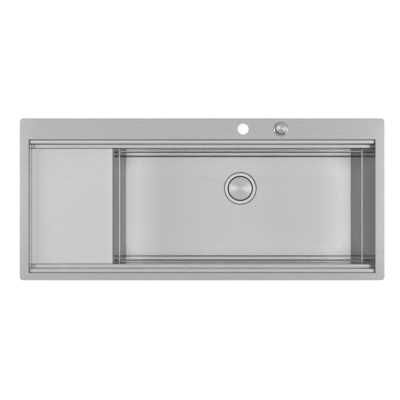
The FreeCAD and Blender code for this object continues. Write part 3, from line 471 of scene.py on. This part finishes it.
def turned_steel(name, colour, centre, roughness, painted_shading=None, metal=1.0):
    """Steel turned with fine rings about an upright axis, which spread a lamp's gleam outwards."""
    finish = settings().finish
    material, tree, shader = new_surface(name, colour, roughness, metal)
    shader.inputs["Anisotropic"].default_value = finish.ring_spread
    flat = object_place(tree, centre, (1, 1, 0))
    outwards = node(tree, "VectorTransform", {"vector_type": "VECTOR", "convert_from": "OBJECT",
                                              "convert_to": "WORLD"}, Vector=flat)
    tree.links.new(outwards.outputs["Vector"], shader.inputs["Tangent"])
    made = node(tree, "TexNoise", {"noise_dimensions": "1D"}, W=length_of(tree, flat),
                Scale=1 / finish.ring_pitch, Detail=3.0)
    rings = made.outputs["Fac"]
    drift = noise(tree, object_place(tree, centre, (40, 40, 40)), 2.0)
    shades = product(tree, spread(tree, rings, 0.92, 1.08), spread(tree, drift, 0.96, 1.04))
    # A further tone paints shade into the colour, such as the dark ring of a gap.
    if painted_shading:
        shades = product(tree, shades, painted_shading(tree))
    tree.links.new(tinted(tree, colour, shades), shader.inputs["Base Color"])
    tree.links.new(spread(tree, drift, roughness * 0.9, roughness * 1.15), shader.inputs["Roughness"])
    bump(tree, shader, rings, finish.ring_pitch * 0.12)
    return material


def polished_steel(name, colour, roughness=0.12, painted_shading=None):
    """Polished steel with faint smears."""
    material, tree, shader = new_surface(name, colour, roughness, 1.0)
    smears = noise(tree, object_place(tree, stretch=(60, 60, 60)), 3.0)
    tree.links.new(spread(tree, smears, roughness * 0.7, roughness * 1.5), shader.inputs["Roughness"])
    shades = spread(tree, smears, 0.96, 1.04)
    # A further tone paints shade into the colour, such as the dark ring of a gap.
    if painted_shading:
        shades = product(tree, shades, painted_shading(tree))
    tree.links.new(tinted(tree, colour, shades), shader.inputs["Base Color"])
    fine = noise(tree, object_place(tree, stretch=(900, 900, 900)), 2.0)
    bump(tree, shader, fine, 0.000004)
    return material


def zinc_plated(name, colour):
    """Zinc plating with a faint spangle."""
    material, tree, shader = new_surface(name, colour, 0.45, 1.0)
    cells = node(tree, "TexVoronoi", Vector=object_place(tree, stretch=(700, 700, 700)), Scale=1.0)
    spangle = node(tree, "SeparateColor", Color=cells.outputs["Color"]).outputs[0]
    dull = noise(tree, object_place(tree, stretch=(90, 90, 90)), 3.0)
    shades = product(tree, spread(tree, spangle, 0.94, 1.06, 0.0, 1.0), spread(tree, dull, 0.88, 1.06))
    tree.links.new(tinted(tree, colour, shades), shader.inputs["Base Color"])
    tree.links.new(spread(tree, dull, 0.36, 0.56), shader.inputs["Roughness"])
    bump(tree, shader, dull, 0.00003)
    return material


def moulded(name, colour, roughness=0.5, grain=2500, depth=0.00003):
    """Moulded plastic or rubber with a fine matt grain and dusty patches."""
    material, tree, shader = new_surface(name, colour, roughness)
    fine = noise(tree, object_place(tree, stretch=(grain, grain, grain)), 2.0)
    dust = noise(tree, object_place(tree, stretch=(30, 30, 30)), 4.0, 0.6)
    shades = product(tree, spread(tree, dust, 0.88, 1.18), spread(tree, fine, 0.95, 1.05))
    tree.links.new(tinted(tree, colour, shades), shader.inputs["Base Color"])
    tree.links.new(spread(tree, dust, roughness * 0.9, roughness * 1.15), shader.inputs["Roughness"])
    bump(tree, shader, fine, depth)
    return material


def foam_tape(name, colour):
    """Open foam with small cells."""
    material, tree, shader = new_surface(name, colour, 0.95)
    made = node(tree, "TexVoronoi", Vector=object_place(tree, stretch=(1400, 1400, 1400)), Scale=1.0)
    cells = made.outputs["Distance"]
    shades = spread(tree, cells, 0.6, 1.25, 0.1, 0.7)
    tree.links.new(tinted(tree, colour, shades), shader.inputs["Base Color"])
    bump(tree, shader, cells, 0.0002)
    return material


# Painted light and shade of each folded sheet


def rim_folds(tree):
    """Painted shade: the rim's edges a little darker, and a painted shadow in a line at the foot of the
    control's ring.
    """
    foot = painted_ring_shade(tree, middle_of("knob_bezel"), BEZEL_FOOT, 0.45)
    return product(tree, face_tone(tree, 0.65, 1.0), foot)


def rear_folds(tree):
    """Painted shade: the risers of the rear ledges darker, and a painted shadow in the gap beside the rim."""
    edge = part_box("rear_ledge_rail")[1].y
    rim_gap_shade = painted_band_shade(tree, "Y", edge, REAR_GAP_SHADE, 0.6)
    return product(tree, face_tone(tree, 0.15, 1.03, steep=0.02, level=0.3), rim_gap_shade)


def risers(tree):
    """Painted shade in what the risers of the rear ledges mirror where they are seen edge on."""
    return face_tone(tree, 0.25, 1.0, steep=0.02, level=0.3)


def front_folds(tree):
    """Painted shade: the risers of the front ledges a little darker, and a painted shadow in the gap beside
    the rim.
    """
    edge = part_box("front_ledge_rail")[0].y
    rim_gap_shade = painted_band_shade(tree, "Y", edge, FRONT_GAP_SHADE, 0.6)
    return product(tree, face_tone(tree, 0.9, 1.0), rim_gap_shade)


def right_end_fold(tree):
    """A painted highlight: the mid ledge of the bowl's right end brighter than its walls, and its outside
    lighter.
    """
    return face_tone(tree, 1.0, 2.3, 1.5)


def left_end_fold(tree):
    """Painted shade and highlight: the walls of the bowl's left end darker than those of the right, its mid
    ledge bright and its outside lighter.
    """
    return face_tone(tree, 0.62, 2.3, 1.5)


def tray_end_lines(tree):
    """Painted shade in two dark lines along the folds of the drainer's end."""
    top = painted_band_shade(tree, "Z", RIM_HIGH.z, TRAY_END_TOP, 0.4)
    foot = painted_band_shade(tree, "Z", RIM_HIGH.z, TRAY_END_FOOT, 0.5)
    return only_inside(tree, product(tree, top, foot))


def tray_edges(tree):
    """Painted light and shade: the drainer brighter towards its two ends, and dark where it drops into the
    bowl.
    """
    low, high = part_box("drainer_tray")
    left = painted_light_rise(tree, "X", low.x, 0.035, 1.2, 1.6)
    right = painted_light_rise(tree, "X", high.x, -0.035, 1.1, 1.6)
    return product(tree, left, right, painted_band_shade(tree, "X", high.x, TRAY_DROP, 0.3))


def rear_wall_lines(tree):
    """The shades of the rear wall: below its mid ledge, at its foot and under its lip."""
    ledge = shade_from(tree, MID_LEDGE - 0.0001, -0.017, 0.0, 1.7)
    foot = painted_band_shade(tree, "Z", BOWL_FLOOR, REAR_FOOT, 0.08, 0.0002)
    lip = painted_band_shade(tree, "Z", RIM_HIGH.z, REAR_UNDER_LIP, 0.65, 0.006)
    return product(tree, ledge, foot, lip)


def front_wall_lines(tree):
    """The shades of the front wall: below its mid ledge, at its foot and under its lip."""
    ledge = shade_from(tree, MID_LEDGE + 0.002, -0.028, 0.36, 1.5)
    foot = shade_from(tree, BOWL_FLOOR + 0.0008, 0.040, 0.42, 0.8)
    lip = painted_band_shade(tree, "Z", RIM_HIGH.z, FRONT_UNDER_LIP, 0.5, 0.008)
    return product(tree, ledge, foot, lip)


def wall_lines(tree):
    """The shades of both long walls."""
    return rear_or_front(tree, rear_wall_lines(tree), front_wall_lines(tree))


def floor_glow(tree):
    """Painted light: the bowl's floor brightens towards its walls."""
    edges = (("X", BOWL_LOW.x, 0.26, 1.9, 3.2), ("X", BOWL_HIGH.x, -0.34, 2.06, 2.7),
             ("Y", BOWL_LOW.y, 0.06, 1.22, 1.0), ("Y", BOWL_HIGH.y, -0.085, 1.28, 1.3))
    glow = product(tree, *(painted_light_rise(tree, *edge) for edge in edges))
    return combined(tree, "MINIMUM", glow, FLOOR_PAINTED_LIGHT_LIMIT)


def floor_lines(tree):
    """Painted shade in fine lines on the floor: along its four creases and round the edge of the seat of the
    waste.
    """
    waste = middle_of("plug_cap")
    corners = ((BOWL_LOW.x, BOWL_HIGH.y, 0.45), (BOWL_LOW.x, BOWL_LOW.y, 0.08),
               (BOWL_HIGH.x, BOWL_HIGH.y, 0.08), (BOWL_HIGH.x, BOWL_LOW.y, 0.2))
    creases = [crease_shade(tree, waste, (x, y), CREASE_WIDTH, deep) for x, y, deep in corners]
    return product(tree, painted_ring_shade(tree, waste, SEAT_EDGE, 0.06), *creases)


def bowl_folds(tree):
    """All the painted light and shade of the bowl's folded sheet, on its inside alone."""
    # Painted shade: the sheet above the mid ledge darker.
    upper = painted_band_shade(tree, "Z", MID_LEDGE, (0, RIM_HIGH.z - MID_LEDGE), 0.75)
    # Painted light: the inner walls brighter than the floor, the front ones more than the rear.
    walls = face_tone(tree, rear_or_front(tree, 1.43, 1.66), 1.0)
    tones = (upper, walls, wall_lines(tree), floor_glow(tree), floor_lines(tree))
    return only_inside(tree, product(tree, *tones))


# Meshes


def finished(name, mesh_maker, material, body, stands_for=()):
    """Makes an object at the origin from mesh code, with its material, and lets it ride its body."""
    mesh = bpy.data.meshes.new(name)
    shape = bmesh.new()
    mesh_maker(shape)
    bmesh.ops.recalc_face_normals(shape, faces=shape.faces)
    shape.to_mesh(mesh)
    shape.free()
    piece = bpy.data.objects.new(name, mesh)
    bpy.context.scene.collection.objects.link(piece)
    mesh.materials.append(material)
    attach(piece, body)
    if stands_for:
        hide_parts(*stands_for)
    return piece


def smooth(piece, angle=math.radians(35)):
    """Smooth shading that keeps sharp corners."""
    piece.data.shade_smooth()
    piece.data.set_sharp_from_angle(angle=angle)


def soft_copy(name, source, width, material, body):
    """A copy of a CAD node with its sharp edges rounded."""

    def make(shape):
        shape.from_mesh(frame["nodes"][source].data)
        bmesh.ops.remove_doubles(shape, verts=shape.verts, dist=1e-6)
        flat, steep = math.radians(1), math.radians(50)
        bmesh.ops.dissolve_limit(shape, angle_limit=flat, verts=shape.verts, edges=shape.edges)
        sharp = [edge for edge in shape.edges if len(edge.link_faces) == 2 and edge.calc_face_angle() > steep]
        bmesh.ops.bevel(shape, geom=sharp, offset=width, segments=2, profile=0.5, affect="EDGES",
                        material=-1)

    smooth(finished(name, make, material, body, (source,)))


def everything(shape):
    """All that a shape is made of."""
    return shape.verts[:] + shape.edges[:] + shape.faces[:]


def verts_in(parts):
    """The vertices among some parts of a shape."""
    return [part for part in parts if isinstance(part, bmesh.types.BMVert)]


def repeat(shape, parts, vec):
    """Copies some parts of a shape to another place."""
    copy = bmesh.ops.duplicate(shape, geom=parts)["geom"]
    bmesh.ops.translate(shape, verts=verts_in(copy), vec=vec)


def thread_maker(radius, depth, pitch, low, high, centres, steps, bore=None):
    """Helical thread around upright axes, cut flat at both ends and closed, or left open round a bore."""

    def make(shape):
        spots = [(radius - depth, 0.0), (radius, 0.5), (radius - depth, 1.0)]
        verts = [shape.verts.new((r, 0, low - 2 * pitch + up * pitch)) for r, up in spots]
        edges = [shape.edges.new(pair) for pair in zip(verts, verts[1:])]
        bmesh.ops.spin(shape, geom=verts + edges, cent=(0, 0, 0), axis=(0, 0, 1), dvec=(0, 0, pitch / steps),
                       angle=math.tau, steps=steps, use_merge=False)
        turns = 1
        while turns * pitch < high - low + 3 * pitch:
            repeat(shape, everything(shape), (0, 0, turns * pitch))
            turns *= 2
        bmesh.ops.remove_doubles(shape, verts=shape.verts, dist=pitch / 50)
        for height, up in ((low, -1), (high, 1)):
            bmesh.ops.bisect_plane(shape, geom=everything(shape), plane_co=(0, 0, height),
                                   plane_no=(0, 0, up), clear_outer=True)
        rims = [edge for edge in shape.edges if edge.is_boundary]
        if bore:
            grown = bmesh.ops.extrude_edge_only(shape, edges=rims)["geom"]
            for vert in verts_in(grown):
                vert.co.xy = vert.co.xy.normalized() * bore
        else:
            bmesh.ops.holes_fill(shape, edges=rims, sides=0)
        first = everything(shape)
        for x, y in centres[1:]:
            repeat(shape, first, (x, y, 0))
        bmesh.ops.translate(shape, verts=verts_in(first), vec=(*centres[0], 0))

    return make


def paint(material, *nodes):
    """Gives CAD nodes a material through their slots."""
    for name in nodes:
        held = frame["nodes"][name]
        if not held.material_slots:
            held.data.materials.append(material)
        for place in held.material_slots:
            place.material = material


# Operators, one for each group of pieces


class SINK_OT_sheet(bpy.types.Operator):
    """Brushed steel for rim, ledges, drainer and bowl"""
    bl_idname = "sink.sheet"
    bl_label = "Brushed Sheet"
    bl_options = {"REGISTER", "UNDO"}

    def execute(self, context):
        look = context.scene.sink
        colours = look.colours
        matt = look.finish.floor_roughness
        clear = look.finish.end_roughness
        metal = look.finish.floor_metal
        # The tones given with each sheet paint light and shade into its colour; those of the rear ledges and
        # the bowl also paint shade into what they mirror.
        rim = brushed_steel("rim steel", colours.rim, ALONG_X, rim_folds)
        rear = brushed_steel("rear ledge steel", colours.rail, ALONG_X, rear_folds, mirror_shade=risers)
        front = brushed_steel("front ledge steel", colours.rail, ALONG_X, front_folds)
        tray = brushed_steel("drainer steel", colours.tray, ALONG_X, tray_edges, matt, clear, metal)
        bowl = brushed_steel("bowl steel", colours.bowl, ALONG_X, bowl_folds, matt, clear, metal, wall_lines)
        left = brushed_steel("left end steel", colours.ends, ALONG_Y, left_end_fold, clear)
        right = brushed_steel("right end steel", colours.ends, ALONG_Y, right_end_fold, clear)
        tray_end = brushed_steel("tray end steel", colours.tray_end, ALONG_Y, tray_end_lines, clear)
        paint(rim, "rim_frame")
        paint(rear, "rear_ledge_rail")
        paint(front, "front_ledge_rail")
        paint(tray, "drainer_tray")
        paint(bowl, "bowl_wrap")
        paint(left, "bowl_left_end")
        paint(right, "bowl_right_end")
        paint(tray_end, "left_end_panel")
        return {"FINISHED"}


class SINK_OT_waste(bpy.types.Operator):
    """Steel and plastic of the waste and its plug"""
    bl_idname = "sink.waste"
    bl_label = "Waste"
    bl_options = {"REGISTER", "UNDO"}

    def execute(self, context):
        look = context.scene.sink
        colours = look.colours
        centre = middle_of("plug_cap")

        # A painted shade: a dark ring in the gap between the cap and the flange.
        def gap(tree):
            return painted_ring_shade(tree, centre, CAP_GAP, 0.03)

        paint(turned_steel("turned cap", colours.turned, centre, 0.35, gap, 0.6), "plug_cap")
        paint(polished_steel("polished flange", colours.polished, painted_shading=gap), "waste_flange")
        paint(turned_steel("satin strainer", colours.turned, centre, 0.35), "strainer_basket", "plug_stem")
        paint(polished_steel("machined steel", colours.polished, 0.25), "clamp_screw", "lift_pin",
              "crank_screw")
        paint(moulded("waste plastic", colours.plastic), "waste_body")
        paint(moulded("pale plastic", colours.gland), "waste_gland", "crank_arm", "lift_shaft")
        paint(moulded("seal rubber", colours.rubber, 0.7, 1500), "flange_seal", "lower_gasket", "plug_seal",
              "shaft_seal")
        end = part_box("waste_body")[0].z
        pitch = look.sizes.outlet_pitch
        proud = pitch * 0.3
        make = thread_maker(OUTLET_RADIUS + proud, proud * 1.6, pitch, end + 0.001, end + 0.020,
                            [(centre.x, centre.y)], 48, OUTLET_RADIUS - 0.001)
        smooth(finished("outlet_thread", make, bpy.data.materials["waste plastic"], "sink"))
        return {"FINISHED"}


class SINK_OT_control(bpy.types.Operator):
    """Turned knob, polished ring and the housing under the deck"""
    bl_idname = "sink.control"
    bl_label = "Control"
    bl_options = {"REGISTER", "UNDO"}

    def execute(self, context):
        look = context.scene.sink
        colours = look.colours
        centre = middle_of("knob_cap")

        # A painted shade: a dark ring at the edge of the knob's cap.
        def edge(tree):
            return painted_ring_shade(tree, centre, KNOB_EDGE, 0.25)

        # A painted shade: a dark ring in the gap round the knob.
        def gap(tree):
            return painted_ring_shade(tree, centre, KNOB_GAP, 0.08)

        paint(turned_steel("turned knob", colours.knob, centre, 0.42, edge), "knob_cap")
        paint(turned_steel("knob ring", colours.polished, centre, 0.2, gap), "knob_bezel")
        paint(polished_steel("spindle steel", colours.polished, 0.25), "knob_spindle")
        paint(moulded("control plastic", colours.plastic), "control_housing", "control_nut", "control_cover",
              "cable_drum")
        paint(moulded("control gland", colours.gland), "control_gland")
        paint(moulded("control seal", colours.rubber, 0.7, 1500), "control_seal")
        paint(zinc_plated("washer zinc", colours.zinc), "control_washer")
        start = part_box("control_housing")[0].z + 0.001
        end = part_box("control_nut")[0].z - 0.0002
        pitch = look.sizes.neck_pitch
        make = thread_maker(NECK_RADIUS + pitch * 0.3, pitch * 0.45, pitch, start, end,
                            [(centre.x, centre.y)], 48, NECK_RADIUS - 0.001)
        smooth(finished("neck_thread", make, bpy.data.materials["control plastic"], "sink"))
        return {"FINISHED"}


class SINK_OT_clips(bpy.types.Operator):
    """Threaded studs, wing nuts and claws under the rim"""
    bl_idname = "sink.clips"
    bl_label = "Fixing Clips"
    bl_options = {"REGISTER", "UNDO"}

    def execute(self, context):
        look = context.scene.sink
        zinc = zinc_plated("zinc plate", look.colours.zinc)
        claws = [name for name in frame["nodes"] if name.startswith("clip_claw")]
        paint(zinc, "wing_nuts", *claws)
        centres = []
        for name in claws:
            joint = next(j for j in frame["joints"] if j["child"] == "clip_" + name.split("_")[-1])
            centres.append(tuple(joint["pos_m"][:2]))
        low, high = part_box("fixing_studs")
        pitch = look.sizes.stud_pitch
        make = thread_maker(STUD_RADIUS, pitch * 0.5, pitch, low.z, high.z, centres, 16)
        smooth(finished("threaded_studs", make, zinc, "sink", ("fixing_studs",)), math.radians(20))
        return {"FINISHED"}


class SINK_OT_pads(bpy.types.Operator):
    """Soft edged pads against noise, and the tape under the rim"""
    bl_idname = "sink.pads"
    bl_label = "Pads and Tape"
    bl_options = {"REGISTER", "UNDO"}

    def execute(self, context):
        look = context.scene.sink
        pad = moulded("pad rubber", look.colours.pad, 0.85, 900, 0.0001)
        paint(pad, "floor_pad_left", "floor_pad_right")
        for name in ("bowl_rear_pad", "bowl_front_pad", "bowl_left_pad", "bowl_right_pad", "drainer_pad"):
            soft_copy(f"{name}_soft", name, look.sizes.pad_edge, pad, "sink")
        paint(foam_tape("foam tape", look.colours.foam), "rim_seal")
        return {"FINISHED"}


class SINK_OT_stage(bpy.types.Operator):
    """Floor, surroundings, lamps and camera"""
    bl_idname = "sink.stage"
    bl_label = "Stage"
    bl_options = {"REGISTER", "UNDO"}

    def execute(self, context):
        stage = context.scene.sink.stage
        make_floor(stage)
        make_surroundings(stage)
        for side in (-1, 1):
            place = (SIDE_LAMP_ASIDE * side + SIDE_LAMP_SHIFT, SIDE_LAMP_REAR, SIDE_LAMP_HEIGHT)
            aim = (SIDE_LAMP_AIM[0] * side, 0, SIDE_LAMP_AIM[1])
            make_lamp(f"side_lamp_{side}", place, aim, SIDE_LAMP_WIDTH, stage.side_power)
        top = make_lamp("top_lamp", (0, 0, TOP_LAMP_HEIGHT), (0, 0, 0), TOP_LAMP_WIDTH, stage.top_power)
        top.visible_glossy = False
        make_camera(stage)
        bpy.context.scene.view_settings.view_transform = "Standard"
        return {"FINISHED"}


def by_ray(tree, seen, mirrored, other):
    """A strength for what the eye sees, one for what gloss and glass show, and one for matt surfaces."""
    path = node(tree, "LightPath")
    gloss = combined(tree, "MAXIMUM", path.outputs["Is Glossy Ray"], path.outputs["Is Transmission Ray"])
    behind = spread(tree, gloss, other, mirrored, 0.0, 1.0)
    return node(tree, "Mix", Factor=path.outputs["Is Camera Ray"], A=behind, B=seen).outputs["Result"]


def make_floor(stage):
    """A pale floor below the lowest piece, lifted to white where it is seen."""
    mesh = bpy.data.meshes.new("floor")
    shape = bmesh.new()
    bmesh.ops.create_grid(shape, x_segments=1, y_segments=1, size=FLOOR_REACH)
    bmesh.ops.translate(shape, verts=shape.verts, vec=(0, 0, CAD_BOX[0][2] - FLOOR_BELOW))
    shape.to_mesh(mesh)
    shape.free()
    floor = bpy.data.objects.new("floor", mesh)
    bpy.context.scene.collection.objects.link(floor)
    material, tree, shader = new_surface("floor paint", (1, 1, 1), 0.9)
    tree.links.new(by_ray(tree, stage.floor_seen, stage.floor, stage.floor), shader.inputs["Base Color"])
    shader.inputs["Emission Color"].default_value = (1, 1, 1, 1)
    glow = by_ray(tree, stage.floor_glow, stage.floor_mirrored, 0.0)
    tree.links.new(glow, shader.inputs["Emission Strength"])
    mesh.materials.append(material)


def make_surroundings(stage):
    """A white room to the eye; reflections show it darker between the lights above and the walls."""
    world = bpy.data.worlds.new("room")
    bpy.context.scene.world = world
    world.use_nodes = True
    tree = world.node_tree
    back = tree.nodes["Background"]
    back.inputs["Color"].default_value = (1, 1, 1, 1)
    direction = node(tree, "TexCoord").outputs["Generated"]
    along = node(tree, "SeparateXYZ", Vector=direction).outputs["Y"]
    dark_at, dark_from, dark_to = 0.62, 0.14, 0.28
    off = off_from(tree, combined(tree, "ABSOLUTE", along), dark_at)
    gap = spread(tree, off, 1.0 - stage.shade, 1.0, dark_from, dark_to)
    front = spread(tree, along, 0.90, 1.0, -0.25, 0.15)
    shaded = product(tree, gap, front)
    tree.links.new(by_ray(tree, 1.0, shaded, stage.sky), back.inputs["Strength"])


def make_lamp(name, place, aim, size, power):
    """A square lamp that looks at a point."""
    light = bpy.data.lights.new(name, "AREA")
    light.shape = "SQUARE"
    light.size = size
    light.energy = power
    lamp = bpy.data.objects.new(name, light)
    bpy.context.scene.collection.objects.link(lamp)
    look = Vector(aim) - Vector(place)
    lamp.matrix_world = Matrix.Translation(place) @ look.to_track_quat("-Z", "Y").to_matrix().to_4x4()
    return lamp


def make_camera(stage):
    """A camera that looks straight down."""
    lens = bpy.data.cameras.new("camera")
    lens.lens = stage.lens
    lens.sensor_width = 36
    lens.shift_x = stage.shift_across
    lens.shift_y = stage.shift_up
    camera = bpy.data.objects.new("camera", lens)
    bpy.context.scene.collection.objects.link(camera)
    camera.location = (stage.camera_right, stage.camera_rear, RIM_HIGH.z + stage.camera_height)
    bpy.context.scene.camera = camera


class SINK_PT_panel(bpy.types.Panel):
    """The sink's settings and steps"""
    bl_idname = "SINK_PT_panel"
    bl_label = "Sink"
    bl_space_type = "VIEW_3D"
    bl_region_type = "UI"
    bl_category = "Sink"

    def draw(self, context):
        look = context.scene.sink
        for group in (look.colours, look.finish, look.sizes, look.stage):
            box = self.layout.box()
            for name in group.bl_rna.properties.keys():
                if name not in ("rna_type", "name"):
                    box.prop(group, name)
        for step in STEPS:
            self.layout.operator(step.bl_idname)


STEPS = (SINK_OT_stage, SINK_OT_sheet, SINK_OT_waste, SINK_OT_control, SINK_OT_clips, SINK_OT_pads)
CLASSES = (SinkColours, SinkFinish, SinkSizes, SinkStage, SinkSettings, *STEPS, SINK_PT_panel)


def register():
    for cls in CLASSES:
        bpy.utils.register_class(cls)
    bpy.types.Scene.sink = PointerProperty(type=SinkSettings)


def unregister():
    del bpy.types.Scene.sink
    for cls in reversed(CLASSES):
        bpy.utils.unregister_class(cls)


def main():
    """Dresses the sink step by step."""
    register()
    for step in STEPS:
        group, name = step.bl_idname.split(".")
        getattr(getattr(bpy.ops, group), name)()


if __name__ == "__main__":
    main()
